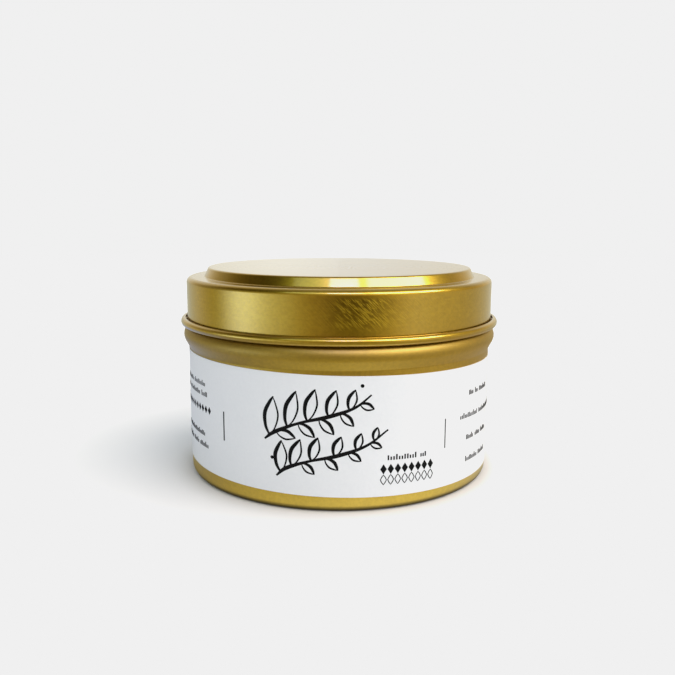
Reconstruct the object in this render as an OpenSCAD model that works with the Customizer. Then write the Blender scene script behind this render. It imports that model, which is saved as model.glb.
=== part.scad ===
// Slip-lid candle tin: a drawn tinplate cup with a bead that carries its lid, a wrap-round
// paper label, poured wax, and a cored cotton wick held upright by a steel tab.
// The origin is the middle of the face that the tin stands on. +Z is up, and the front of the
// label faces -Y.

/* [Tinplate] */
// Thickness of the sheet that the cup and the lid are drawn from
sheet_t = 0.25; // [0.2:0.01:0.3]

/* [Cup] */
// Outside diameter of the cup's wall
cup_d = 76.4; // [64:0.2:110]
// Height of the cup, from its foot to the top of its rolled rim
cup_h = 48.5; // [48.1:0.1:49.5]
// Outside radius of the corner at the foot
foot_corner_r = 1.5; // [1:0.1:2.5]
// Width of the flat ring that the tin stands on
foot_w = 1.5; // [1:0.1:4]
// Height of the base panel's underside above the foot
base_rise = 0.9; // [0.7:0.05:1.5]
// Height of the middle of the bead
bead_z = 34.6; // [34.2:0.1:34.9]
// Outside radius of the bead's rounded face
bead_face_r = 2.6; // [2.3:0.05:2.9]
// How far the bead stands out from the wall
bead_out = 1.3; // [1.1:0.05:1.5]
// Height at which the wall ends and the slope up to the bead starts
shoulder_z = 31.5; // [31.5:0.1:31.8]
// How much smaller the neck is than the wall, on the radius
neck_step = 0.15; // [0.05:0.05:0.3]
// Outside radius of the rim's inward roll
rim_r = 1; // [0.8:0.05:1.3]

/* [Lid] */
// Clear gap between the neck and the lid's wall
slip_gap = 0.25; // [0.1:0.05:0.3]
// Height of the lid's skirt, from the bottom of its hem to its ledge
skirt_h = 11.9; // [11.5:0.05:12.3]
// Clear height between the cup's rim and the lid's ledge when the lid is on
seat_gap = 0.05; // [0.05:0.05:0.3]
// Height of the top panel above the ledge around it
panel_rise = 2.25; // [1.6:0.05:3]
// Width of the ledge between the lid's wall and the foot of the bevel
ledge_w = 4.45; // [3:0.05:12]
// How far the bevel spreads from the panel's edge down to the ledge
bevel_w = 1.05; // [0.4:0.05:3]
// Outside radius of the corner between the ledge and the lid's wall
lid_corner_r = 1.3; // [0.8:0.1:1.5]
// Width of the hem's outward roll
hem_w = 1.85; // [1.6:0.05:2.4]
// Height of the hem's outward roll
hem_h = 1.95; // [1.6:0.05:2.6]

/* [Wrap label] */
// Height of the paper strip
label_h = 27; // [15:0.5:27]
// Thickness of the paper
label_t = 0.15; // [0.1:0.05:0.25]
// Height of the middle of the strip
label_z = 17; // [15.6:0.05:17]
// How far the strip is out of level, in degrees, lower at +X
label_skew = 1.1; // [0:0.1:1.1]
// Length that the strip's end laps over its start, at the back
label_lap = 8; // [4:0.5:15]

/* [Wax and wick] */
// Height of the wax surface
wax_z = 35.2; // [20:0.2:35.4]
// How far the wax climbs where it meets the wall
meniscus_h = 0.6; // [0.2:0.1:0.8]
// Outside diameter of the wick's braid
wick_d = 2.2; // [1.6:0.1:3]
// Diameter of the wick's core
core_d = 0.9; // [0.5:0.1:1.2]
// Length of wick that stands clear of the wax
wick_proud = 6.5; // [4:0.5:8]
// Diameter of the steel tab's disc
tab_d = 20; // [12:1:30]
// Thickness of the steel tab
tab_t = 0.3; // [0.2:0.05:0.4]
// Height of the tab's neck above its disc
tab_neck_h = 6; // [3:0.5:9]
// Diameter of the foam sticker under the tab
sticker_d = 18; // [10:1:28]
// Thickness of the foam sticker
sticker_t = 0.5; // [0.3:0.1:1]

/* [Base label] */
// Diameter of the paper disc in the base's recess
base_label_d = 50; // [30:1:52]
// Thickness of the paper disc
base_label_t = 0.1; // [0.05:0.05:0.2]

/* [Hidden] */
$fn = 144;

gold = [0.83, 0.67, 0.30];
paper = [0.94, 0.94, 0.93];
wax_cream = [0.95, 0.92, 0.83];
cotton = [0.93, 0.91, 0.86];
steel = [0.70, 0.70, 0.72];
foam = [0.85, 0.86, 0.88];

half_t = sheet_t / 2;
arc_step = 15;       // degrees of turn for each chord of a rounded corner
eps = 0.01;          // overrun of a cutting solid past the face that it cuts

// Cup, on the middle of the sheet
wall_r = cup_d / 2 - half_t;
foot_z = half_t;
base_z = base_rise + half_t;
base_step_r = 0.6;
foot_in_r = cup_d / 2 - foot_corner_r - foot_w;
base_step_w = 1;
shoulder_fillet_r = 1;
neck_fillet_r = 0.35;
neck_r = wall_r - neck_step;
roll_r = rim_r - half_t;
roll_z = cup_h - rim_r;
roll_end = 290;      // degrees that the rim's roll turns through
floor_z = base_rise + sheet_t;

// The bead's face starts at bead_start, in degrees, where the slope is a tangent to it. It ends
// at bead_end, where the fillet that joins it to the neck has the same direction.
shoulder = [wall_r, shoulder_z];
bead_r = bead_face_r - half_t;
bead_c = [cup_d / 2 + bead_out - bead_face_r, bead_z];
bead_way = bead_c - shoulder;
bead_start = atan2(bead_way.y, bead_way.x) - asin(bead_r / norm(bead_way)) - 90;
neck_fillet_out = neck_r + neck_fillet_r - bead_c.x;
neck_fillet_up = sqrt(pow(bead_r + neck_fillet_r, 2) - pow(neck_fillet_out, 2));
neck_fillet_c = bead_c + [neck_fillet_out, neck_fillet_up];
bead_end = atan2(neck_fillet_up, neck_fillet_out);

// Lid, on the middle of the sheet, where it sits when the tin is closed
lid_wall_r = neck_r + sheet_t + slip_gap;
ledge_z = cup_h + seat_gap + half_t;
panel_z = ledge_z + panel_rise;
hem_low = ledge_z + half_t - skirt_h;
hem_r = [hem_w / 2 - half_t, hem_h / 2 - half_t];
hem_c = [lid_wall_r + hem_r.x, hem_low + hem_h / 2];
hem_end = 460;       // degrees at which the hem's edge stops, open towards the wall
bevel_foot_r = lid_wall_r + half_t - ledge_w;
panel_edge_r = 0.6;
bevel_fillet_r = 0.4;

// Wax and wick
bead_inside_r = cup_d / 2 + bead_out - sheet_t;
meniscus_w = 2;
tab_z = floor_z + sticker_t;
wick_top_z = wax_z + wick_proud;
tab_neck_r = wick_d / 2 + tab_t;

function unit(v) = v / norm(v);

function left_of(v) = [-v.y, v.x];

// Points of an elliptical arc about c, with radii r, from angle a0 to angle a1
function arc(c, r, a0, a1) =
    let (n = max(2, ceil(abs(a1 - a0) / arc_step)))
    [for (i = [0:n]) let (a = a0 + (a1 - a0) * i / n) c + [r.x * cos(a), r.y * sin(a)]];

// Points of the arc of radius r that rounds corner q, on the way from p to s
function fillet(p, q, s, r) =
    let (back = unit(p - q),
         ahead = unit(s - q),
         half_angle = acos(back * ahead) / 2,
         c = q + unit(back + ahead) * r / sin(half_angle),
         from_c = q + back * r / tan(half_angle) - c,
         a0 = atan2(from_c.y, from_c.x),
         turn = sign(cross(q - p, s - q)) * (180 - 2 * half_angle))
    arc(c, [r, r], a0, a0 + turn);

// An outline of corners [x, z, radius], each rounded by its radius
function rounded(corners) =
    [for (i = [0:len(corners) - 1])
        let (q = corners[i], at = [q.x, q.y])
        each q[2] == 0 ? [at]
            : fillet([corners[i - 1].x, corners[i - 1].y], at,
                     [corners[i + 1].x, corners[i + 1].y], q[2])];

// The path moved sideways by d, to its left where d is positive
function beside(path, d) =
    [for (i = [0:len(path) - 1])
        let (into = unit(path[max(i, 1)] - path[max(i, 1) - 1]),
             last = len(path) - 2,
             out = unit(path[min(i, last) + 1] - path[min(i, last)]),
             along = unit(into + out))
        path[i] + left_of(along) * d / (along * into)];

function reversed(list) = [for (i = [len(list) - 1:-1:0]) list[i]];

function after_first(list) = [for (i = [1:len(list) - 1]) list[i]];

// Cup from the middle of the base, out to the foot, and up over the bead to the neck
bead_arc = arc(bead_c, [bead_r, bead_r], bead_start, bead_end);
neck_arc = arc(neck_fillet_c, [neck_fillet_r, neck_fillet_r], bead_end + 180, 180);
cup_path = concat(
    rounded([[0, base_z, 0],
             [foot_in_r - base_step_w, base_z, base_step_r],
             [foot_in_r, foot_z, base_step_r],
             [wall_r, foot_z, foot_corner_r - half_t],
             [shoulder.x, shoulder.y, shoulder_fillet_r],
             [bead_arc[0].x, bead_arc[0].y, 0]]),
    after_first(bead_arc),
    after_first(neck_arc));
rim_roll = arc([neck_r - roll_r, roll_z], [roll_r, roll_r], 0, roll_end);

// Lid from the middle of the panel, out over the bevel and the ledge, and down to the hem
lid_path = concat(
    rounded([[0, panel_z, 0],
             [bevel_foot_r - bevel_w, panel_z, panel_edge_r - half_t],
             [bevel_foot_r, ledge_z, bevel_fillet_r],
             [lid_wall_r, ledge_z, lid_corner_r - half_t],
             [lid_wall_r, hem_c.y, 0]]),
    after_first(arc(hem_c, hem_r, 180, hem_end)));

// A ring of sheet metal whose middle follows the path
module sheet_ring(path) {
    rotate_extrude()
        polygon(concat(beside(path, half_t), reversed(beside(path, -half_t))));
}

module tin_body() {
    color(gold)
        sheet_ring(concat(cup_path, rim_roll));
}

module lid() {
    color(gold)
        sheet_ring(lid_path);
}

module tube(r_in, r_out, h) {
    difference() {
        cylinder(r = r_out, h = h);
        translate([0, 0, -eps])
            cylinder(r = r_in, h = h + 2 * eps);
    }
}

// A strip of the label's height and skew that is wide enough to cut any ring of paper
module label_band() {
    translate([0, 0, label_z])
        rotate([0, label_skew, 0])
            cube([2 * cup_d, 2 * cup_d, label_h], center = true);
}

// The strip goes once round the wall, and its end lies on its start at the back
module wrap_label() {
    color(paper)
        intersection() {
            union() {
                tube(cup_d / 2, cup_d / 2 + label_t, shoulder.y);
                intersection() {
                    tube(cup_d / 2 + label_t, cup_d / 2 + 2 * label_t, shoulder.y);
                    translate([-label_lap / 2, 0, 0])
                        cube([label_lap, cup_d, shoulder.y]);
                }
            }
            label_band();
        }
}

// Everything under the wax surface, with the surface curled up where it nears the wall
module below_wax_surface() {
    rotate_extrude()
        polygon(concat([[0, 0], [bead_inside_r + 1, 0], [bead_inside_r + 1, wax_z + meniscus_h]],
                       reversed(arc([bead_inside_r - meniscus_w, wax_z + meniscus_h],
                                    [meniscus_w, meniscus_h], 270, 360)),
                       [[0, wax_z]]));
}

module cup_inside() {
    inside = beside(cup_path, half_t);
    rotate_extrude()
        polygon(concat(inside, [[0, inside[len(inside) - 1].y]]));
}

module wax_fill() {
    color(wax_cream)
        difference() {
            intersection() {
                cup_inside();
                below_wax_surface();
            }
            translate([0, 0, tab_z])
                cylinder(d = tab_d, h = tab_t);
            translate([0, 0, floor_z - eps])
                cylinder(d = sticker_d, h = sticker_t + eps);
            translate([0, 0, tab_z])
                cylinder(r = tab_neck_r, h = tab_t + tab_neck_h);
            translate([0, 0, tab_z])
                cylinder(d = wick_d, h = wick_top_z);
        }
}

module wick_braid() {
    color(cotton)
        translate([0, 0, tab_z])
            tube(core_d / 2, wick_d / 2, wick_top_z - tab_z);
}

module wick_core() {
    color(paper)
        translate([0, 0, tab_z])
            cylinder(d = core_d, h = wick_top_z - tab_z);
}

module wick_tab() {
    color(steel)
        translate([0, 0, tab_z])
            rotate_extrude()
                polygon([[wick_d / 2, 0],
                         [tab_d / 2, 0],
                         [tab_d / 2, tab_t],
                         [tab_neck_r, tab_t],
                         [tab_neck_r, tab_t + tab_neck_h],
                         [wick_d / 2, tab_t + tab_neck_h]]);
}

module wick_sticker() {
    color(foam)
        translate([0, 0, floor_z])
            cylinder(d = sticker_d, h = sticker_t);
}

module base_label() {
    color(paper)
        translate([0, 0, base_rise - base_label_t])
            cylinder(d = base_label_d, h = base_label_t);
}

tin_body();
lid();
wrap_label();
wax_fill();
wick_braid();
wick_core();
wick_tab();
wick_sticker();
base_label();
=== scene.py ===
"""Looks of the slip-lid candle tin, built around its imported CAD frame.

The frame is in metres, +Z up, with the front of the label at -Y. Outlines here are in
millimetres, as (radius, height), and become metres when a mesh is made. The materials and the
studio are in metres.
"""

import math

import bpy
import numpy as np
from mathutils import Matrix, Vector, noise


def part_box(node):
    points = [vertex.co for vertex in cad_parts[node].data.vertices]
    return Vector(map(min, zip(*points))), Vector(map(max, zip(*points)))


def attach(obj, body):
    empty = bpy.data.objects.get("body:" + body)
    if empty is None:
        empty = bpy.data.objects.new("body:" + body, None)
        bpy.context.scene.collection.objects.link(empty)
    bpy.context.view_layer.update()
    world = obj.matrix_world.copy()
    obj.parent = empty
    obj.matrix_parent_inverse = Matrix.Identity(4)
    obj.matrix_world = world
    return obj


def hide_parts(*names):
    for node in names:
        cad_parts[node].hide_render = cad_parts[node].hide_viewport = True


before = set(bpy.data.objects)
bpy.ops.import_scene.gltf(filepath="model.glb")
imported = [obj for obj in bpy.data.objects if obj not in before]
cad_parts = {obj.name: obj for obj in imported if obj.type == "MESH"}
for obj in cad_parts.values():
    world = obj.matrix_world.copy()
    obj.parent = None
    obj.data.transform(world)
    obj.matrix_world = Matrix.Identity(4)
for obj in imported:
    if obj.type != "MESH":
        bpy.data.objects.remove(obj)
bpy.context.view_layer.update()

MM = 0.001
TURN = 2 * math.pi


def reach(node):
    """(outer radius, lowest height, highest height) of a CAD node, in millimetres."""
    low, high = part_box(node)
    return high.x / MM, low.z / MM, high.z / MM


# ---------------------------------------------------------------- sizes, in millimetres

SHEET = 0.25
HALF = SHEET / 2

HEM_R, HEM_LOW, LID_TOP = reach("lid")
BEAD_MAX_R, _, RIM_TOP = reach("tin_body")
LABEL_R, LABEL_LOW, LABEL_HIGH = reach("wrap_label")
_, _, WAX_EDGE = reach("wax_fill")
WICK_R, WICK_LOW, WICK_TOP = reach("wick_braid")
TAB_R, TAB_Z, TAB_TOP = reach("wick_tab")
STICKER_R, _, _ = reach("wick_sticker")

PAPER = 0.15
WALL_R = LABEL_R - PAPER
LABEL_SKEW = math.radians(1.1)  # how far the strip is out of level
LABEL_H = 27.0
LABEL_MID = (LABEL_LOW + LABEL_HIGH) / 2
LABEL_LAP = 8.0
LAP_CLIMB = 1.2  # length over which the strip climbs onto its own start

HEM_W = 1.85
HEM_H = 1.95
HEM_END = 460  # degrees at which the hem's edge stops, open towards the wall
LID_WALL_R = HEM_R - HEM_W + SHEET
PANEL_RISE = 2.25
LEDGE_W = 4.45
BEVEL_W = 1.05
BEVEL_FILLET_R = 0.4
PANEL_EDGE_R = 0.6
LID_CORNER_R = 1.3

BEAD_Z = 34.6
BEAD_FACE_R = 2.6
SHOULDER_Z = 31.5
SHOULDER_FILLET_R = 1.0
NECK_FILLET_R = 0.35
NECK_STEP = 0.15
RIM_R = 1.0
RIM_END = 290  # degrees that the rim rolls through
FOOT_CORNER_R = 1.5
FOOT_W = 1.5
BASE_RISE = 0.9
BASE_STEP_R = 0.6
BASE_STEP_W = 1
MENISCUS = 0.6
MENISCUS_W = 2.0
WAX_Z = WAX_EDGE - MENISCUS
TAB_T = 0.3


# ---------------------------------------------------------------- outlines

ARC_STEP = 5.0  # degrees for each chord of a rounded corner
LONGEST = 3.0  # millimetres that a straight stretch may run before it is cut


def unit(v):
    return v / np.linalg.norm(v)


def arc(c, rx, ry, a0, a1):
    """Points of an elliptical arc about c, from angle a0 to a1, in degrees."""
    n = max(2, math.ceil(abs(a1 - a0) / ARC_STEP))
    a = np.radians(np.linspace(a0, a1, n + 1))
    return np.stack([c[0] + rx * np.cos(a), c[1] + ry * np.sin(a)], 1)


def rounded(corners):
    """Points of an outline of corners (x, z, radius), each rounded by its radius."""
    points = []
    for i, (x, z, radius) in enumerate(corners):
        q = np.array([x, z], float)
        if radius == 0:
            points.append(q[None])
            continue
        into = unit(q - np.array(corners[i - 1][:2]))
        out = unit(np.array(corners[i + 1][:2]) - q)
        turn = math.degrees(math.acos(float(np.clip(into @ out, -1, 1))))
        half = math.radians(180 - turn) / 2
        c = q + unit(out - into) * radius / math.sin(half)
        start = q - into * radius / math.tan(half) - c
        a0 = math.degrees(math.atan2(start[1], start[0]))
        side = math.copysign(1, into[0] * out[1] - into[1] * out[0])
        points.append(arc(c, radius, radius, a0, a0 + side * turn))
    return np.concatenate(points)


def beside(path, d):
    """The path moved sideways by d, to its left where d is positive."""
    step = np.diff(path, axis=0)
    step /= np.linalg.norm(step, axis=1)[:, None]
    into = np.concatenate([step[:1], step])
    out = np.concatenate([step, step[-1:]])
    along = into + out
    along /= np.linalg.norm(along, axis=1)[:, None]
    left = np.stack([-along[:, 1], along[:, 0]], 1)
    return path + left * d / np.sum(along * into, axis=1)[:, None]


def sheet_outline(path):
    """The closed outline of sheet metal whose middle follows the path."""
    return np.concatenate([beside(path, HALF), beside(path, -HALF)[::-1]])


def cup_path():
    """Middle of the cup's sheet, from the axis under the wax, by the foot, up to the rim."""
    wall = WALL_R - HALF
    neck = wall - NECK_STEP
    foot = HALF
    base = BASE_RISE + HALF
    foot_in = WALL_R - FOOT_CORNER_R - FOOT_W
    shoulder = np.array([wall, SHOULDER_Z])
    bead_r = BEAD_FACE_R - HALF
    bead = np.array([BEAD_MAX_R - BEAD_FACE_R, BEAD_Z])
    # the bead's face starts where the slope is a tangent to it, and ends in the neck's fillet
    way = bead - shoulder
    start = math.degrees(math.atan2(way[1], way[0]) - math.asin(bead_r / np.linalg.norm(way))) - 90
    out = neck + NECK_FILLET_R - bead[0]
    up = math.sqrt((bead_r + NECK_FILLET_R) ** 2 - out ** 2)
    end = math.degrees(math.atan2(up, out))
    face = arc(bead, bead_r, bead_r, start, end)
    neck_corner = arc(bead + [out, up], NECK_FILLET_R, NECK_FILLET_R, end + 180, 180)
    roll = RIM_R - HALF
    roll_z = RIM_TOP - RIM_R
    body = rounded([(0, base, 0), (foot_in - BASE_STEP_W, base, BASE_STEP_R),
                    (foot_in, foot, BASE_STEP_R), (wall, foot, FOOT_CORNER_R - HALF),
                    (*shoulder, SHOULDER_FILLET_R), (*face[0], 0)])
    rim = arc((neck - roll, roll_z), roll, roll, 0, RIM_END)
    return np.concatenate([body, face[1:], neck_corner[1:], rim])


def lid_path():
    """Middle of the lid's sheet, from the axis, over the bevel and the ledge, down to the hem."""
    panel = LID_TOP - HALF
    ledge = panel - PANEL_RISE
    wall = LID_WALL_R - HALF
    bevel_foot = LID_WALL_R - LEDGE_W
    rx = HEM_W / 2 - HALF
    ry = HEM_H / 2 - HALF
    hem = (wall + rx, HEM_LOW + HEM_H / 2)
    top = rounded([(0, panel, 0), (bevel_foot - BEVEL_W, panel, PANEL_EDGE_R - HALF),
                   (bevel_foot, ledge, BEVEL_FILLET_R), (wall, ledge, LID_CORNER_R - HALF),
                   (wall, hem[1], 0)])
    return np.concatenate([top, arc(hem, rx, ry, 180, HEM_END)[1:]])


def filled(path):
    """The path with stretches longer than LONGEST cut into equal steps."""
    points = [path[0]]
    for a, b in zip(path[:-1], path[1:]):
        n = max(1, math.ceil(np.linalg.norm(b - a) / LONGEST))
        points += [a + (b - a) * k / n for k in range(1, n + 1)]
    return np.array(points)


# ---------------------------------------------------------------- meshes

SEGMENTS = 240  # flat facets round a lathed sheet
SMOOTH_DEG = 35.0  # an edge sharper than this stays sharp


def add_object(name, data):
    """An object of the data, in the scene."""
    thing = bpy.data.objects.new(name, data)
    bpy.context.scene.collection.objects.link(thing)
    return thing


def make(name, verts, faces, material, body, smooth_deg=SMOOTH_DEG):
    """An object of the given mesh, in millimetres, that rides on a CAD body."""
    mesh = bpy.data.meshes.new(name)
    mesh.from_pydata((np.asarray(verts, float) * MM).tolist(), [], faces)
    mesh.validate()
    mesh.polygons.foreach_set("use_smooth", [True] * len(mesh.polygons))
    mesh.set_sharp_from_angle(angle=math.radians(smooth_deg))
    mesh.materials.append(material)
    piece = add_object(name, mesh)
    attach(piece, body)
    return piece


def lathe(name, outline, material, body, segments=SEGMENTS):
    """The closed outline (radius, height) turned round the axis."""
    verts, rings = [], []
    angles = np.arange(segments) * TURN / segments
    cos, sin = np.cos(angles), np.sin(angles)
    for r, z in outline:
        if r < 1e-6:
            rings.append([len(verts)] * segments)
            verts.append((0, 0, z))
        else:
            rings.append(list(range(len(verts), len(verts) + segments)))
            verts += [(r * c, r * s, z) for c, s in zip(cos, sin)]
    faces = []
    for a, b in zip(rings, rings[1:] + rings[:1]):
        if a[0] == a[1] and b[0] == b[1]:
            continue
        for i in range(segments):
            j = (i + 1) % segments
            face = (a[j], a[i], b[i], b[j])
            faces.append(tuple(dict.fromkeys(face)))
    return make(name, verts, faces, material, body)


# ---------------------------------------------------------------- materials


class Nodes:
    """Short way to write a node tree. A source is a node's output socket."""

    def __init__(self, tree):
        self.tree = tree

    def add(self, kind, links=None, **values):
        """A node with properties or sockets set to values, and sockets linked to sources."""
        node = self.tree.nodes.new(kind)
        for key, value in values.items():
            if hasattr(node, key):
                setattr(node, key, value)
            else:
                node.inputs[key.replace("_", " ")].default_value = value
        for socket, source in (links or {}).items():
            self.tree.links.new(source, node.inputs[socket])
        return node

    def spread(self, source, low, high, to_low, to_high, kind="LINEAR"):
        """The source's range from low to high spread over to_low to to_high, held beyond it."""
        node = self.add("ShaderNodeMapRange", {"Value": source}, clamp=True,
                        interpolation_type=kind)
        for key, value in zip(("From Min", "From Max", "To Min", "To Max"),
                              (low, high, to_low, to_high)):
            node.inputs[key].default_value = value
        return node.outputs["Result"]

    def math(self, operation, *values):
        """A sum, product or the like of numbers and sources."""
        node = self.add("ShaderNodeMath", operation=operation)
        for i, value in enumerate(values):
            if isinstance(value, (int, float)):
                node.inputs[i].default_value = value
            else:
                self.tree.links.new(value, node.inputs[i])
        return node.outputs["Value"]

    def blend(self, factor, a, b):
        """From source a to b, which is a source or a colour, by the factor."""
        node = self.add("ShaderNodeMix", {"Factor": factor, "A": a}, data_type="RGBA")
        if isinstance(b, tuple):
            node.inputs["B"].default_value = (*b, 1)
        else:
            self.tree.links.new(b, node.inputs["B"])
        return node.outputs["Result"]

    def colours(self, source, *stops, kind="LINEAR"):
        """A colour ramp of (place, (r, g, b)) stops."""
        node = self.add("ShaderNodeValToRGB", {"Fac": source})
        ramp = node.color_ramp
        ramp.interpolation = kind
        while len(ramp.elements) < len(stops):
            ramp.elements.new(1.0)
        for element, (place, colour) in zip(ramp.elements, stops):
            element.position = place
            element.color = (*colour, 1)
        return node.outputs["Color"]

    def by_direction(self, vector, table, top):
        """The colour of a direction in a table of (degrees from the front towards +X, colour),
        as a part of top, and the vector's own height."""
        parts = self.add("ShaderNodeSeparateXYZ", {"Vector": vector}).outputs
        angle = self.math("ARCTAN2", parts["X"], self.math("MULTIPLY", parts["Y"], -1.0))
        around = self.math("MULTIPLY_ADD", angle, 1 / TURN, 0.5)
        stops = [(degrees / 360 + 0.5, tuple(c / top for c in colour))
                 for degrees, colour in table]
        return self.colours(around, *stops, kind="B_SPLINE"), parts["Z"]


class Material(Nodes):
    """A material of one principled shader, whose patterns are fixed to the piece, in metres."""

    def __init__(self, name):
        self.material = bpy.data.materials.new(name)
        self.material.use_nodes = True
        super().__init__(self.material.node_tree)
        self.shader = self.tree.nodes["Principled BSDF"]
        self.place = self.add("ShaderNodeTexCoord").outputs["Object"]

    def set(self, **values):
        for key, value in values.items():
            self.shader.inputs[key.replace("_", " ")].default_value = value

    def link(self, source, socket):
        self.tree.links.new(source, self.shader.inputs[socket])

    def stretched(self, scale, place=None):
        """The place, scaled by x, y and z apart."""
        return self.add("ShaderNodeMapping", {"Vector": place or self.place},
                        Scale=scale).outputs["Vector"]

    def noise(self, scale, detail, rough, place=None):
        return self.add("ShaderNodeTexNoise", {"Vector": place or self.place}, Scale=scale,
                        Detail=detail, Roughness=rough).outputs["Fac"]

    def bump(self, height, strength, distance):
        return self.add("ShaderNodeBump", {"Height": height}, Strength=strength,
                        Distance=distance).outputs["Normal"]

    def away(self):
        """Distance from the origin."""
        return self.add("ShaderNodeVectorMath", {"Vector": self.place},
                        operation="LENGTH").outputs["Value"]


# noises: scale, detail, roughness
CLOUD = (90, 4, 0.55)
SPECKLE = (1500, 2, 0.6)
PAPER_FIBRE = (1400, 4, 0.6)
PLAIN_GRAIN = (900, 3, 0.55)

# the range of a noise, and what it is spread over
CLOUD_ROUGH = (0.3, 0.7, -0.01, 0.02)
SPECKLE_TONE = (0.35, 0.65, 0.93, 1.06)

GOLD_DEEP = (0.50, 0.320, 0.020)
GOLD_PALE = (0.55, 0.355, 0.028)
SATIN_SCALE = (900, 900, 120)  # by x, y and z: the cup's grain runs upright
SATIN_STRENGTH = 0.3
SATIN_DEPTH = 0.00001
PAINTED_SHADE_HEIGHTS = (0.0337, 0.0346)  # heights over which painted shade darkens the cup's colour, from the bead's face up
ROUGH_HEIGHTS = (0.0325, 0.0345)  # and over which it turns rougher


def gold_tinplate(name, rough, beaded_rough, beaded_painted_shade, lacquer, lacquer_rough, polished):
    """Tinplate under a clear gold lacquer: satin; rougher, and darker with painted shade, where
    the bead was pressed out.
    """
    m = Material(name)
    cloud = m.noise(*CLOUD)
    height = m.add("ShaderNodeSeparateXYZ", {"Vector": m.place}).outputs["Z"]
    colour = m.colours(cloud, (0.30, GOLD_DEEP), (0.70, GOLD_PALE))
    # painted shade on the cup's bead and above it, times a random speckled tone
    tone_and_painted_dark = m.math("MULTIPLY", m.spread(height, *PAINTED_SHADE_HEIGHTS, 1.0, beaded_painted_shade),
                    m.spread(m.noise(*SPECKLE), *SPECKLE_TONE))
    if polished:
        # painted dark reflection darkens the scored wall's colour
        strokes, ripples, shade = polishing(m, height)
        tone_and_painted_dark = m.math("MULTIPLY", tone_and_painted_dark, shade)
    colour = m.add("ShaderNodeVectorMath", {"Vector": colour, "Scale": tone_and_painted_dark},
                   operation="SCALE").outputs["Vector"]
    m.set(Metallic=1.0, Coat_Weight=lacquer, Coat_Roughness=lacquer_rough, Coat_IOR=1.5)
    pressed = m.spread(height, *ROUGH_HEIGHTS, rough, beaded_rough)
    m.link(m.math("ADD", pressed, m.spread(cloud, *CLOUD_ROUGH)), "Roughness")
    if polished:
        shine = m.math("MULTIPLY_ADD", ripples, RIPPLE_SHINE, strokes)
        m.link(m.blend(shine, colour, STROKE_COLOUR), "Base Color")
        m.link(m.bump(m.math("ADD", strokes, ripples), 1.0, STROKE_DEPTH), "Normal")
    else:
        m.link(colour, "Base Color")
        grain = m.noise(1.0, 2, 0.5, m.stretched(SATIN_SCALE))
        m.link(m.bump(grain, SATIN_STRENGTH, SATIN_DEPTH), "Normal")
    return m.material


# how much the lid's wall is scored, and so where its painted dark reflection falls: degrees from
# the front towards +X, then the amount
SCORED_AND_PAINTED_DARK = [(-180, 0.03), (-60, 0.03), (-20, 0.03), (-4, 0.12), (1, 1.00), (12, 1.00),
          (17, 0.35), (30, 0.10), (60, 0.06), (180, 0.03)]
POLISH_LOW = (0.0395, 0.0415)  # heights over which the polished wall sets in
POLISH_HIGH = (0.0466, 0.0474)  # and over which it ends, below the lid's corner
STROKE_LEAN = 26.0  # turn of the strokes round the axis, in radians per metre of height
STROKE_SCALE = (5400, 5400, 640)  # by x, y and z
STROKE_SPREAD = (0.54, 0.66, 0.0, 1.0)
STROKE_DEPTH = 0.00001
STROKE_COLOUR = (0.80, 0.58, 0.055)
RIPPLE_SCALE = (420, 420, 2400)
RIPPLE_SPREAD = (0.45, 0.75, 0.0, 0.6)
RIPPLE_SHINE = 0.25
# a painted dark reflection on the scored part of the lid's wall
PAINTED_DARK_REFLECTION = (0.0405, 0.0470, 0.05, 0.50)  # two heights, and how much darker the metal is at each


def polishing(m, height):
    """The lid wall's slanting strokes, its level ripples, and the painted dark reflection: the
    colour darkened where the wall is scored, more towards its top.
    """
    lean = m.math("MULTIPLY", height, STROKE_LEAN)
    turned = m.add("ShaderNodeVectorRotate", {"Vector": m.place, "Angle": lean},
                   rotation_type="Z_AXIS").outputs["Vector"]
    amount, _ = m.by_direction(m.place, [(a, (v, v, v)) for a, v in SCORED_AND_PAINTED_DARK], 1.0)
    wall = m.math("MULTIPLY", m.spread(height, *POLISH_LOW, 0.0, 1.0),
                  m.spread(height, *POLISH_HIGH, 1.0, 0.0))
    scored_and_painted_dark = m.math("MULTIPLY", amount, wall)
    streaks = m.noise(1.0, 0.0, 0.5, m.stretched(STROKE_SCALE, turned))
    strokes = m.math("MULTIPLY", m.spread(streaks, *STROKE_SPREAD), scored_and_painted_dark)
    waves = m.noise(1.0, 1.5, 0.5, m.stretched(RIPPLE_SCALE))
    ripples = m.math("MULTIPLY", m.spread(waves, *RIPPLE_SPREAD), wall)
    # painted dark reflection: the scored wall's colour darker towards its top
    shade = m.math("SUBTRACT", 1.0, m.math("MULTIPLY", scored_and_painted_dark, m.spread(height, *PAINTED_DARK_REFLECTION)))
    return strokes, ripples, shade


def label_paper(name):
    """Coated white label paper with a faint tooth."""
    m = Material(name)
    fibre = m.noise(*PAPER_FIBRE)
    dark, pale = (0.725, 0.742, 0.758), (0.750, 0.765, 0.778)
    m.link(m.colours(fibre, (0.3, dark), (0.7, pale)), "Base Color")
    m.set(Roughness=0.55)
    m.link(m.bump(fibre, 0.15, 0.00002), "Normal")
    return m.material


def plain(name, colour, roughness, metallic=0.0, gloss=0.5):
    """A plain surface with a little grain and colour change of its own."""
    m = Material(name)
    cloud = m.noise(*PLAIN_GRAIN)
    dark = tuple(0.92 * c for c in colour)
    m.link(m.colours(cloud, (0.3, dark), (0.7, colour)), "Base Color")
    m.set(Metallic=metallic, Specular_IOR_Level=gloss)
    m.link(m.spread(cloud, 0.3, 0.7, roughness - 0.05, roughness + 0.05), "Roughness")
    m.link(m.bump(cloud, 0.2, 0.00003), "Normal")
    return m.material


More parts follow.
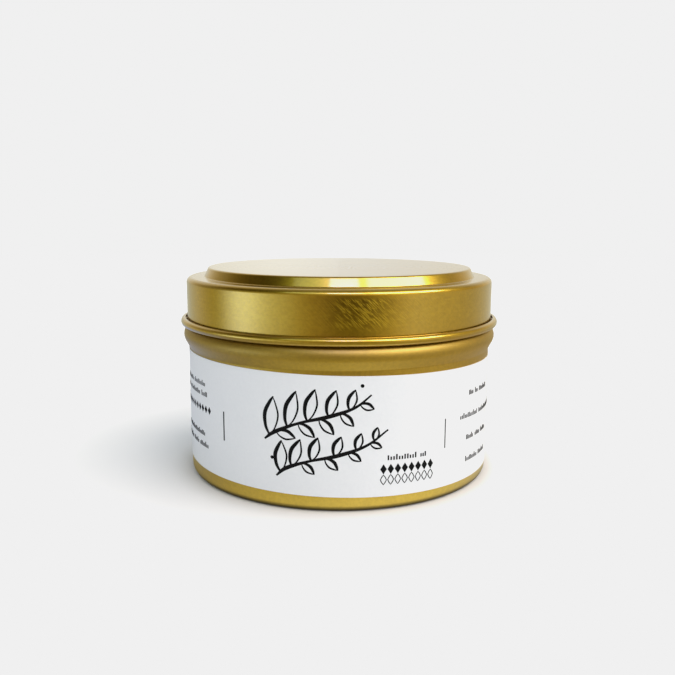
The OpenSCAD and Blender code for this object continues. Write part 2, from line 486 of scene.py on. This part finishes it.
GOLD = gold_tinplate("gold_tinplate_lid", rough=0.29, beaded_rough=0.29, beaded_painted_shade=1.0,
                     lacquer=1.0, lacquer_rough=0.12, polished=True)
# the cup's bead and what is above it are darkened with painted shade
CUP_GOLD = gold_tinplate("gold_tinplate_cup", rough=0.36, beaded_rough=0.50, beaded_painted_shade=0.78,
                         lacquer=0.88, lacquer_rough=0.44, polished=False)
LABEL = label_paper("label_paper")
INK = plain("print_ink", (0.004, 0.004, 0.0045), 0.55, gloss=0.12)
WAX = plain("soy_wax", (0.80, 0.76, 0.62), 0.45)
COTTON = plain("wick_cotton", (0.78, 0.74, 0.64), 0.9)
CORE = plain("core_paper", (0.80, 0.78, 0.72), 0.85)
STEEL = plain("tab_steel", (0.56, 0.56, 0.58), 0.38, metallic=1.0)
FOAM = plain("sticker_foam", (0.66, 0.68, 0.71), 0.8)


# ---------------------------------------------------------------- pieces


def build_tin():
    """The cup and the lid: the CAD's sheet outlines, in finer steps."""
    cup = lathe("tin_cup", sheet_outline(filled(cup_path())), CUP_GOLD, "tin")
    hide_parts("tin_body")
    lid = lathe("tin_lid", sheet_outline(filled(lid_path())), GOLD, "lid")
    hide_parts("lid")


def keep_cad(node, material):
    """A CAD node whose shape is right, with its own material."""
    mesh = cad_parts[node].data
    mesh.materials.clear()
    mesh.materials.append(material)


def loft(rings):
    """Vertices and faces of a tube through rings of equally many points, with capped ends."""
    n = len(rings[0])
    verts = [tuple(p) for ring in rings for p in ring]
    faces = []
    for a in range(0, len(verts) - n, n):
        b = a + n
        faces += [(a + i, a + (i + 1) % n, b + (i + 1) % n, b + i) for i in range(n)]
    faces.append(tuple(reversed(range(n))))
    faces.append(tuple(range(len(verts) - n, len(verts))))
    return verts, faces


def on_label(u, v, lift):
    """Place above the label's face: u along it from the front towards +X, v up from its middle."""
    a = u / LABEL_R
    r = LABEL_R + lift
    x = LABEL_R * math.sin(a)
    return (r * math.sin(a), -r * math.cos(a), LABEL_MID + v - x * math.tan(LABEL_SKEW))


LABEL_STEPS, CLIMB_STEPS, LABEL_ROWS = 260, 7, 9  # points round the strip, up its lap, across it


def build_label():
    """The strip: once round from under its own end at the back, which climbs onto its start."""
    half_lap = LABEL_LAP / 2 / LABEL_R
    first, last = -math.pi - half_lap, math.pi + half_lap
    start_edge = math.pi - half_lap
    climb = LAP_CLIMB / LABEL_R
    angles = set(np.linspace(first, last, LABEL_STEPS))
    angles |= set(np.linspace(start_edge - climb, start_edge, CLIMB_STEPS))
    half_h = LABEL_H / 2 / math.cos(LABEL_SKEW)
    rows = np.linspace(-half_h, half_h, LABEL_ROWS)
    rings = []
    for a in sorted(angles):
        t = min(1.0, max(0.0, (a - start_edge + climb) / climb))
        inner = WALL_R + PAPER * t * t * (3 - 2 * t)
        slope = -WALL_R * math.sin(a) * math.tan(LABEL_SKEW)
        ring = [(inner + PAPER, v) for v in rows] + [(inner, v) for v in rows[::-1]]
        rings.append([(r * math.sin(a), -r * math.cos(a), LABEL_MID + v + slope) for r, v in ring])
    verts, faces = loft(rings)
    label = make("label_strip", verts, faces, LABEL, "tin")
    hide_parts("wrap_label")


BRUSH_STEP = 0.35  # millimetres between the points of a drawn curve


def smooth(points, step=BRUSH_STEP):
    """A curve (u, v, width) through the points, a Catmull-Rom spline in short steps."""
    p = np.array(points, float)
    p = np.concatenate([[2 * p[0] - p[1]], p, [2 * p[-1] - p[-2]]])
    out = []
    for a, b, c, d in zip(p[:-3], p[1:-2], p[2:-1], p[3:]):
        n = max(2, math.ceil(np.linalg.norm((c - b)[:2]) / step))
        t = (np.arange(n) / n)[:, None]
        out.append(0.5 * (2 * b + (c - a) * t + (2 * a - 5 * b + 4 * c - d) * t ** 2
                          + (3 * b - a - 3 * c + d) * t ** 3))
    return np.concatenate(out + [p[-2:-1]])


# a film's bottom, sunk into the paper, its top, and by how much the next tops rise, so many times
FILM_LOW, FILM_HIGH, FILM_STEP, FILM_STEPS = -0.01, 0.012, 0.0004, 60

TICKS = (1.0, 0.7, 0.75, 1.15, 0.7, 0.7, 1.0)  # heights of the small print's ticks, by turns
TICK_PITCH = 0.64
TICK_W = 0.36
THINNEST = 0.02  # half of the least height that a drawn end keeps

# an outlined leaf's half: place along it, place across it, and the brush's weight there
LEAF_SIDE = [(0.0, 0.0, 0.5), (0.22, 0.36, 0.8), (0.55, 0.5, 1.0), (0.85, 0.22, 0.8),
             (1.02, -0.03, 0.35)]


class Print:
    """Ink on the label: thin closed films, each a hair higher than the one before."""

    def __init__(self):
        self.verts, self.faces, self.count = [], [], 0

    def film(self, left, right):
        """A film between two edges of equally many (u, v) points."""
        low, high = FILM_LOW, FILM_HIGH + FILM_STEP * min(self.count, FILM_STEPS)
        rings = [(on_label(*a, high), on_label(*b, high), on_label(*b, low), on_label(*a, low))
                 for a, b in zip(left, right)]
        verts, faces = loft(rings)
        base = len(self.verts)
        self.verts += verts
        self.faces += [tuple(base + i for i in face) for face in faces]
        self.count += 1

    def stroke(self, points, step=BRUSH_STEP):
        """A brush stroke along (u, v, width) points."""
        line = smooth(points, step)
        along = np.gradient(line[:, :2], axis=0)
        along /= np.maximum(np.linalg.norm(along, axis=1), 1e-9)[:, None]
        side = np.stack([-along[:, 1], along[:, 0]], 1) * line[:, 2:3] / 2
        self.film((line[:, :2] + side).tolist(), (line[:, :2] - side).tolist())

    def dot(self, u, v, r):
        """A round dot."""
        us = sorted({round(u + side * r * math.cos(math.radians(a)), 4)
                     for side in (-1, 1) for a in (0, 30, 60, 90)})
        half = [max(THINNEST, math.sqrt(max(0.0, r * r - (x - u) ** 2))) for x in us]
        self.film([(x, v + h) for x, h in zip(us, half)], [(x, v - h) for x, h in zip(us, half)])

    def ticks(self, ends, v, height):
        """Rows of small upright ticks, one row for each pair of ends."""
        foot = v - height / 2
        for u0, u1 in zip(ends[::2], ends[1::2]):
            count = max(2, round((u1 - u0) / TICK_PITCH))
            for k in range(count):
                u = u0 + (u1 - u0) * (k + 0.5) / count
                top = foot + height * TICKS[self.count % len(TICKS)]
                left, right = u - TICK_W / 2, u + TICK_W / 2
                self.film([(left, top), (right, top)], [(left, foot), (right, foot)])

    def lozenge(self, u, v, width, height):
        """A filled lozenge."""
        us = np.linspace(u - width / 2, u + width / 2, 5)
        half = [max(THINNEST, height / 2 * (1 - abs(x - u) / (width / 2))) for x in us]
        self.film([(x, v + h) for x, h in zip(us, half)], [(x, v - h) for x, h in zip(us, half)])

    def leaf(self, u, v, angle, length, width, thick):
        """An outlined leaf from its foot at (u, v), drawn in a broad and a fine stroke."""
        d = np.array([math.cos(math.radians(angle)), math.sin(math.radians(angle))])
        n = np.array([-d[1], d[0]])
        foot = np.array([u, v])
        for side, weight in ((1, 1.1 * thick), (-1, 0.42)):
            self.stroke([(*(foot + d * length * t + n * side * width * w), weight * s)
                         for t, w, s in LEAF_SIDE])

    def piece(self, name):
        """The films so far, as one piece."""
        ink = make(name, self.verts, self.faces, INK, "tin", smooth_deg=20.0)


def build_sprig(name, stem, leaves, berries):
    """A brush-drawn sprig: a stem (u, v, width), its outlined leaves (place along the stem, angle,
    length, width, weight), and its loose berries (u, v, radius)."""
    ink = Print()
    ink.stroke([(u, v, 1.2 * width) for u, v, width in stem])
    line = smooth(stem)
    steps = np.concatenate([[0], np.cumsum(np.linalg.norm(np.diff(line[:, :2], axis=0), axis=1))])
    for t, angle, length, width, thick in leaves:
        at = [np.interp(t * steps[-1], steps, line[:, k]) for k in (0, 1)]
        ink.leaf(*at, angle, length, width, thick)
    for u, v, r in berries:
        ink.dot(u, v, r)
    ink.piece(name)


def build_print():
    """Two sprigs, a border of lozenges, and rows of ticks beside two upright rules."""
    build_sprig(
        "print_sprig_upper",
        [(-16.8, -1.6, 0.35), (-14.2, 0.3, 0.75), (-8.5, 2.8, 0.5), (-2.0, 4.6, 0.75),
         (3.4, 6.6, 0.5), (7.0, 9.4, 0.3)],
        [(0.06, 84, 8.6, 3.2, 0.85), (0.13, -14, 4.6, 1.9, 0.7), (0.24, 76, 8.2, 2.7, 0.85),
         (0.34, -38, 4.6, 1.8, 0.7), (0.42, 76, 7.2, 2.5, 0.8), (0.52, -46, 4.6, 1.8, 0.7),
         (0.60, 74, 6.0, 2.2, 0.75), (0.70, -44, 4.0, 1.6, 0.65), (0.78, 74, 4.6, 1.8, 0.7),
         (0.88, -20, 3.2, 1.4, 0.6)],
        [(5.0, 11.4, 0.42)])
    build_sprig(
        "print_sprig_lower",
        [(-14.0, -9.6, 0.35), (-11.6, -7.6, 0.75), (-6.4, -5.6, 0.5), (0.0, -4.0, 0.75),
         (6.0, -1.8, 0.5), (10.8, 1.6, 0.3)],
        [(0.05, 88, 7.0, 2.7, 0.85), (0.16, 72, 6.4, 2.3, 0.8), (0.25, -40, 3.6, 1.5, 0.65),
         (0.33, 74, 5.4, 2.1, 0.8), (0.44, -42, 3.8, 1.6, 0.7), (0.52, 72, 4.6, 1.9, 0.75),
         (0.63, -34, 3.4, 1.4, 0.6), (0.70, 74, 3.8, 1.6, 0.7), (0.82, -22, 2.8, 1.2, 0.55),
         (0.86, 76, 3.0, 1.3, 0.6)],
        [(-15.0, -5.6, 0.4)])

    stamp = Print()
    stamp.ticks((10.6, 17.9, 18.7, 20.4), -4.75, 1.1)
    places = [9.85 + 1.68 * i for i in range(8)]
    for u in places:
        stamp.lozenge(u, -7.3, 1.5, 2.3)
    for u in places:
        for tip in (-8.6, -10.8):
            stamp.stroke([(u - 0.7, -9.7, 0.2), (u, tip, 0.22), (u + 0.7, -9.7, 0.2)], 2.0)
    stamp.piece("print_border")

    notes = Print()
    for u, width in ((-28.8, 0.4), (25.9, 0.3)):
        notes.stroke([(u, v, width) for v in (2.4, -1.0, -4.4)])
    for v, ends in ((7.3, (-53.4, -44.6, -43.8, -36.5)),
                    (4.9, (-52.4, -47.6, -46.8, -39.6, -38.8, -35.6)),
                    (-4.8, (-51.6, -37.2)),
                    (-7.5, (-53.2, -46.0, -45.2, -41.2, -40.4, -35.5)),
                    (7.1, (34.7, 37.0, 37.8, 39.6, 40.4, 46.0)),
                    (1.8, (31.1, 39.6, 40.5, 53.6)),
                    (-3.5, (33.9, 37.6, 38.5, 41.6, 42.4, 46.6)),
                    (-8.8, (33.8, 40.2, 41.0, 46.2))):
        notes.ticks(ends, v, 1.12)
    for i in range(12):
        notes.lozenge(-53.6 + 1.72 * i, 1.3, 1.35, 1.8)
    notes.piece("print_notes")


WAX_SEGMENTS = 180
CURL_R = 36.9823  # the wax is level from the wall in to here, and curls down from here
UNEVEN = 0.14  # millimetres that the set wax rises and falls


def build_wax():
    """The wax as it set: filled round the tab and the wick, flat but for a slight unevenness."""
    inside = filled(beside(cup_path(), HALF))
    floor_z = inside[0][1]
    rising = [tuple(p) for p in inside if p[0] > STICKER_R + 0.3 and p[1] < WAX_EDGE - 0.02]
    curl = [(CURL_R - MENISCUS_W + MENISCUS_W * math.sin(math.radians(a)),
             WAX_Z + MENISCUS * (1 - math.cos(math.radians(a)))) for a in range(84, -1, -7)]
    flat = [(r, WAX_Z) for r in np.linspace(CURL_R - MENISCUS_W, WICK_R + 1.2, 20)[1:]]
    at_wick = WICK_R + 0.01
    wicked = [(WICK_R + 0.6, WAX_Z + 0.05), (WICK_R + 0.2, WAX_Z + 0.2), (at_wick, WAX_Z + 0.4)]
    tab_neck_r = WICK_R + TAB_T
    tab_face = TAB_Z + TAB_T
    hollow = [(at_wick, TAB_TOP), (tab_neck_r, TAB_TOP), (tab_neck_r, tab_face),
              (TAB_R, tab_face), (TAB_R, TAB_Z), (STICKER_R, TAB_Z)]
    outline = [(STICKER_R, floor_z), *rising, (CURL_R, WAX_EDGE), *curl, *flat, *wicked, *hollow]
    wax = lathe("wax_fill_poured", np.array(outline), WAX, "tin", WAX_SEGMENTS)
    for vertex in wax.data.vertices:
        p = vertex.co / MM
        away = math.hypot(p.x, p.y)
        if p.z > WAX_Z - 0.01 and away < CURL_R - 0.5:
            broad = noise.noise(Vector((p.x, p.y, 0)) * 0.13)
            fine = noise.noise(Vector((p.x, p.y, 9)) * 0.5)
            sway = broad + 0.4 * fine
            vertex.co.z += UNEVEN * sway * min(1.0, (away - WICK_R) / 4) * MM
    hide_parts("wax_fill")


def build_braid():
    """Eight flat strands, four each way round, over and under each other round the core."""
    pitch, middle, sway = 7.0, 0.78, 0.12
    half_wide, half_deep, sides, step = 0.42, 0.17, 8, 0.3
    steps = math.ceil((WICK_TOP - WICK_LOW) / step)
    verts, faces = [], []
    for way in (1, -1):
        for strand in range(4):
            rings = []
            for k in range(steps + 1):
                z = WICK_LOW + (WICK_TOP - WICK_LOW) * k / steps
                turn = TURN * z / pitch
                a = way * turn + strand * TURN / 4
                r = middle + way * sway * math.cos(4 * turn)
                out = np.array([math.cos(a), math.sin(a), 0])
                round_it = np.array([-math.sin(a), math.cos(a), 0])
                ring = []
                for i in range(sides):
                    b = TURN * i / sides
                    p = out * (r + half_deep * math.sin(b)) + round_it * half_wide * math.cos(b)
                    ring.append((p[0], p[1], z))
                rings.append(ring)
            v, f = loft(rings)
            faces += [tuple(len(verts) + i for i in face) for face in f]
            verts += v
    braid = make("wick_braid_strands", verts, faces, COTTON, "tin", smooth_deg=50.0)
    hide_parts("wick_braid")


build_tin()
build_label()
build_print()
build_wax()
build_braid()
keep_cad("wick_core", CORE)
keep_cad("wick_tab", STEEL)
keep_cad("wick_sticker", FOAM)
keep_cad("base_label", LABEL)


# ---------------------------------------------------------------- studio

LENS = 40.44  # millimetres
SENSOR = 36.0  # millimetres
PITCH = math.radians(9.465)  # how far the camera looks down
ROLL = math.radians(0.2)
DISTANCE = 0.1978
AIM = Vector((-0.00037, 0, 0.03238))

WHITE = 0.871  # the brightest that the picture gets, as linear light
AMBIENT = 0.66  # strength of the even light
AMBIENT_COLOUR = (0.93, 1.0, 1.06)
FLOOR_R = 1.2
FLOOR_ALBEDO = (0.97, 0.96, 0.94)
FLOOR_FADE = (0.35, 1.0)  # distances from the tin over which the floor turns into the backdrop
PAINTED_CONTACT_SHADOW = (0.0365, 0.0865)  # distances over which the painted contact shadow darkens the floor's colour
# the floor's colour by place between those two: painted shadow near the foot, lightening out to
# the floor's own colour
PAINTED_CONTACT_SHADOW_TONES = ((0.0, (0.11, 0.09, 0.05)), (0.021, (0.78, 0.775, 0.765)),
                 (0.14, (0.885, 0.875, 0.86)), (0.4, (0.945, 0.935, 0.92)), (1.0, FLOOR_ALBEDO))

KEY_ENERGY = 1.98
KEY_ANGLE = math.radians(70)  # how wide the light is
KEY_COLOUR = (1.10, 1.0, 0.93)
KEY_FROM = (64, 46)  # azimuth and elevation, in degrees


def build_camera():
    """The camera in front of the tin, DISTANCE from AIM and above it by PITCH."""
    data = bpy.data.cameras.new("camera")
    data.lens = LENS
    data.sensor_width = SENSOR
    data.clip_start = 0.01
    data.clip_end = 20
    camera = add_object("camera", data)
    back = Vector((0, -math.cos(PITCH), math.sin(PITCH)))
    turn = (-back).to_track_quat("-Z", "Y").to_matrix() @ Matrix.Rotation(ROLL, 3, "Z")
    camera.matrix_world = Matrix.Translation(AIM + back * DISTANCE) @ turn.to_4x4()
    bpy.context.scene.camera = camera


def stage_mesh(name, verts, faces, material):
    """A mesh of the studio, in metres."""
    mesh = bpy.data.meshes.new(name)
    mesh.from_pydata(verts, [], faces)
    mesh.materials.append(material)
    thing = add_object(name, mesh)
    return thing


def disc(radius, z, segments=96):
    """Vertices and faces of a level disc."""
    rim = [(radius * math.cos(TURN * i / segments), radius * math.sin(TURN * i / segments), z)
           for i in range(segments)]
    return rim, [tuple(range(segments))]


def build_floor():
    """A pale floor with the tin's contact shadow painted into its colour, darkest under the foot,
    and fading into the backdrop towards its rim.
    """
    m = Material("floor")
    m.set(Roughness=1.0, Specular_IOR_Level=0.0)
    floor = stage_mesh("floor", *disc(FLOOR_R, 0.0), m.material)
    floor.visible_glossy = False
    away = m.away()
    # painted contact shadow in the floor's colour
    m.link(m.colours(m.spread(away, *PAINTED_CONTACT_SHADOW, 0.0, 1.0), *PAINTED_CONTACT_SHADOW_TONES), "Base Color")
    m.link(m.spread(away, *FLOOR_FADE, 1.0, 0.0), "Alpha")


def glowing(name, strength, colour=(1, 1, 1)):
    """A light-giving material, left out of the light sampling."""
    m = Material(name)
    m.tree.nodes.remove(m.shader)
    glow = m.add("ShaderNodeEmission", Strength=strength, Color=(*colour, 1))
    out = next(n for n in m.tree.nodes if n.type == "OUTPUT_MATERIAL")
    m.tree.links.new(glow.outputs["Emission"], out.inputs["Surface"])
    m.material.cycles.emission_sampling = "NONE"
    return m, glow


def only_mirrored(thing):
    """Leaves the thing to reflections alone."""
    for ray in ("camera", "diffuse", "transmission", "volume_scatter", "shadow"):
        setattr(thing, "visible_" + ray, False)


def toward(azimuth, elevation):
    """Unit direction, in degrees from the front towards +X and up from level."""
    a, e = math.radians(azimuth), math.radians(elevation)
    return Vector((math.sin(a) * math.cos(e), -math.cos(a) * math.cos(e), math.sin(e)))


def build_key():
    """The soft light of a wide window, up and to the right."""
    data = bpy.data.lights.new("key", "SUN")
    data.energy = KEY_ENERGY
    data.angle = KEY_ANGLE
    data.color = KEY_COLOUR
    key = add_object("key", data)
    key.rotation_euler = toward(*KEY_FROM).to_track_quat("Z", "Y").to_euler()
    key.visible_glossy = False


# name, strength, left and right end (azimuth, elevation) and height in degrees, colour
PANES = [("pane_right", 9.5, (26, 43.5), (80, 34), 15, (1.0, 0.98, 1.14)),
         ("pane_middle", 7.0, (-9, 44), (18, 44), 10, (1.0, 1.0, 2.5)),
         ("pane_blind", 1.25, (-42, 41), (-12, 44), 16, (0.90, 1.16, 1.0))]
PANE_AWAY = 0.5


def build_pane(name, strength, left, right, tall, colour):
    """A window pane as shiny surfaces mirror it: a curved patch of light between two places
    (azimuth, elevation) in degrees, so many degrees tall."""
    steps = 16
    rows = [[toward(left[0] + (right[0] - left[0]) * i / steps,
                    left[1] + (right[1] - left[1]) * i / steps + tall * (j / 2 - 0.5)) * PANE_AWAY
             for i in range(steps + 1)] for j in range(3)]
    verts = [p for row in rows for p in row]
    wide = steps + 1
    faces = [(j * wide + i, j * wide + i + 1, (j + 1) * wide + i + 1, (j + 1) * wide + i)
             for j in range(2) for i in range(steps)]
    m, _ = glowing(name + "_glow", strength, colour)
    m.material.cycles.emission_sampling = "FRONT_BACK"
    only_mirrored(stage_mesh(name, verts, faces, m.material))


# what the shiny wall mirrors: degrees from the front towards +X, then the light there
AROUND = [(-180, (0.90, 0.90, 0.87)), (-150, (0.54, 0.55, 0.48)), (-129, (0.50, 0.50, 0.36)),
          (-110, (0.64, 0.58, 0.34)), (-95, (0.45, 0.40, 0.12)), (-82, (0.40, 0.37, 0.15)),
          (-70, (1.54, 1.90, 2.8)), (-60, (1.82, 2.26, 3.3)), (-48, (0.98, 1.12, 1.3)),
          (-35, (0.82, 0.88, 0.70)), (-23, (0.46, 0.39, 0.16)), (-11, (0.25, 0.17, 0.10)),
          (0, (0.02, 0.01, 0.01)), (12, (0.03, 0.02, 0.02)), (23, (0.18, 0.16, 0.08)),
          (35, (0.66, 0.57, 0.28)), (47, (0.97, 0.96, 0.90)), (60, (0.74, 0.71, 0.58)),
          (82, (0.61, 0.55, 0.34)), (110, (0.57, 0.52, 0.31)), (150, (0.60, 0.58, 0.46)),
          (180, (0.90, 0.90, 0.87))]
# the same, higher up on that wall
HIGHER = [(-180, (0.86, 0.86, 0.82)), (-168, (1.02, 1.02, 0.95)), (-150, (0.76, 0.74, 0.64)),
          (-129, (0.68, 0.60, 0.40)), (-117, (0.46, 0.38, 0.20)), (-104, (0.28, 0.24, 0.13)),
          (-90, (0.22, 0.20, 0.11)), (-60, (0.34, 0.33, 0.22)), (-40, (0.38, 0.35, 0.18)),
          (-20, (0.38, 0.31, 0.10)), (0, (0.42, 0.32, 0.07)), (20, (0.62, 0.49, 0.18)),
          (38, (1.10, 0.88, 0.42)), (54, (1.10, 0.90, 0.50)), (72, (0.58, 0.47, 0.18)),
          (95, (0.46, 0.36, 0.12)), (110, (0.62, 0.45, 0.18)), (129, (0.76, 0.66, 0.42)),
          (150, (0.80, 0.76, 0.64)), (168, (0.80, 0.79, 0.74)), (180, (0.86, 0.86, 0.82))]
AROUND_TOP = 3.3  # the brightest value in either
HIGHER_FROM, HIGHER_FULL = 0.044, 0.060  # heights over which the one becomes the other


def build_surround():
    """A low wall round the tin that only reflections see: the room that the metal mirrors."""
    radius, low, high, segments = 0.155, 0.014, 0.100, 180
    ring = [(radius * math.sin(a), -radius * math.cos(a))
            for a in (TURN * i / segments for i in range(segments))]
    verts = [(x, y, z) for z in (low, high) for x, y in ring]
    faces = [(i, (i + 1) % segments, segments + (i + 1) % segments, segments + i)
             for i in range(segments)]
    m, glow = glowing("surround_glow", AROUND_TOP)
    lower, height = m.by_direction(m.place, AROUND, AROUND_TOP)
    higher, _ = m.by_direction(m.place, HIGHER, AROUND_TOP)
    rise = m.spread(height, HIGHER_FROM, HIGHER_FULL, 0.0, 1.0)
    m.tree.links.new(m.blend(rise, lower, higher), glow.inputs["Color"])
    only_mirrored(stage_mesh("surround", verts, faces, m.material))


# how bright the floor looks in the sheet metal: beside the foot, and further out
NEAR = [(-180, (0.75, 0.75, 0.72)), (-130, (0.29, 0.27, 0.19)), (-100, (0.34, 0.32, 0.12)),
        (-60, (0.44, 0.44, 0.32)), (-30, (0.88, 0.92, 0.90)), (0, (1.26, 1.36, 1.60)),
        (15, (1.46, 1.55, 1.90)), (35, (1.36, 1.46, 1.65)), (60, (1.00, 1.06, 1.08)),
        (90, (0.84, 0.84, 0.62)), (115, (0.82, 0.86, 0.85)), (140, (0.88, 0.98, 1.15)),
        (180, (0.75, 0.75, 0.72))]
FAR = [(-180, (0.52, 0.51, 0.47)), (-112, (0.38, 0.48, 0.80)), (-80, (0.34, 0.34, 0.42)),
       (-48, (0.36, 0.36, 0.34)), (-24, (0.42, 0.40, 0.28)), (0, (0.45, 0.41, 0.18)),
       (24, (0.43, 0.38, 0.16)), (48, (0.52, 0.46, 0.30)), (92, (0.52, 0.46, 0.34)),
       (135, (0.42, 0.36, 0.22)), (180, (0.52, 0.51, 0.47))]
NEAR_TOP = 2.0  # no value in either is brighter
FAR_FROM, FAR_FULL = 0.0435, 0.0565  # distances over which the near becomes the far
FOOT_SHADE = (0.0378, 0.0412, 0.06)  # distances of the foot's shadow, and the light left in it
MIRRORED_R, MIRRORED_Z = 0.3, 0.00002


def build_mirrored_floor():
    """The floor as the sheet metal mirrors it: bright where the light falls beside the foot."""
    m, glow = glowing("mirrored_floor_glow", NEAR_TOP)
    near, _ = m.by_direction(m.place, NEAR, NEAR_TOP)
    far, _ = m.by_direction(m.place, FAR, NEAR_TOP)
    away = m.away()
    out = m.spread(away, FAR_FROM, FAR_FULL, 0.0, 1.0)
    m.tree.links.new(m.blend(out, near, far), glow.inputs["Color"])
    inner, outer, left = FOOT_SHADE
    contact = m.spread(away, inner, outer, left * NEAR_TOP, NEAR_TOP)
    m.tree.links.new(contact, glow.inputs["Strength"])
    only_mirrored(stage_mesh("mirrored_floor", *disc(MIRRORED_R, MIRRORED_Z), m.material))


# what the sheet metal mirrors higher up
ABOVE = [(-180, (0.85, 0.84, 0.80)), (-130, (0.62, 0.58, 0.46)), (-117, (0.32, 0.26, 0.12)),
         (-104, (0.13, 0.09, 0.03)), (-88, (0.03, 0.02, 0.01)), (-52, (0.03, 0.02, 0.01)),
         (-36, (0.22, 0.22, 0.08)), (0, (0.42, 0.38, 0.22)), (25, (0.70, 0.66, 0.48)),
         (78, (1.00, 0.90, 0.60)), (92, (0.40, 0.34, 0.16)), (115, (0.30, 0.24, 0.10)),
         (140, (0.62, 0.58, 0.46)), (180, (0.85, 0.84, 0.80))]
ZENITH = (0.27, 0.27, 0.2565)  # and straight above
ZENITH_FROM = 0.75  # sine of the elevation at which that sets in


def build_world():
    """Even light from all sides, a pale backdrop, and what reflections see of the room above."""
    world = bpy.data.worlds.new("world")
    bpy.context.scene.world = world
    world.use_nodes = True
    world.node_tree.nodes.clear()
    w = Nodes(world.node_tree)
    path = w.add("ShaderNodeLightPath").outputs
    direction = w.add("ShaderNodeTexCoord").outputs["Generated"]

    def background(colour, strength, links=None):
        return w.add("ShaderNodeBackground", links, Color=(*colour, 1),
                     Strength=strength).outputs["Background"]

    def choose(ray, otherwise, then):
        mix = w.add("ShaderNodeMixShader", {"Fac": path[ray], 1: otherwise, 2: then})
        return mix.outputs["Shader"]

    colour, up = w.by_direction(direction, ABOVE, 1.0)
    rise = w.spread(up, ZENITH_FROM, 1.0, 0.0, 1.0, "SMOOTHSTEP")
    room = background((1, 1, 1), 1.0, {"Color": w.blend(rise, colour, ZENITH)})
    shown = choose("Is Glossy Ray", background(AMBIENT_COLOUR, AMBIENT), room)
    shown = choose("Is Camera Ray", shown, background((1, 1, 1), WHITE))
    w.add("ShaderNodeOutputWorld", {"Surface": shown})


def build_view():
    """Plain colours, with everything brighter than the white point held at it."""
    view = bpy.context.scene.view_settings
    view.view_transform = "Standard"
    view.use_curve_mapping = True
    curve = view.curve_mapping.curves[3]  # the one for all three channels
    curve.points[1].location = (WHITE, WHITE)
    curve.points.new(0.5, 0.5)
    curve.points.new(WHITE + 0.004, WHITE)
    curve.points.new(1.0, WHITE)
    for point in curve.points:
        point.handle_type = "VECTOR"
    view.curve_mapping.extend = "HORIZONTAL"
    view.curve_mapping.update()


build_camera()
build_floor()
build_mirrored_floor()
build_key()
for pane in PANES:
    build_pane(*pane)
build_surround()
build_world()
build_view()
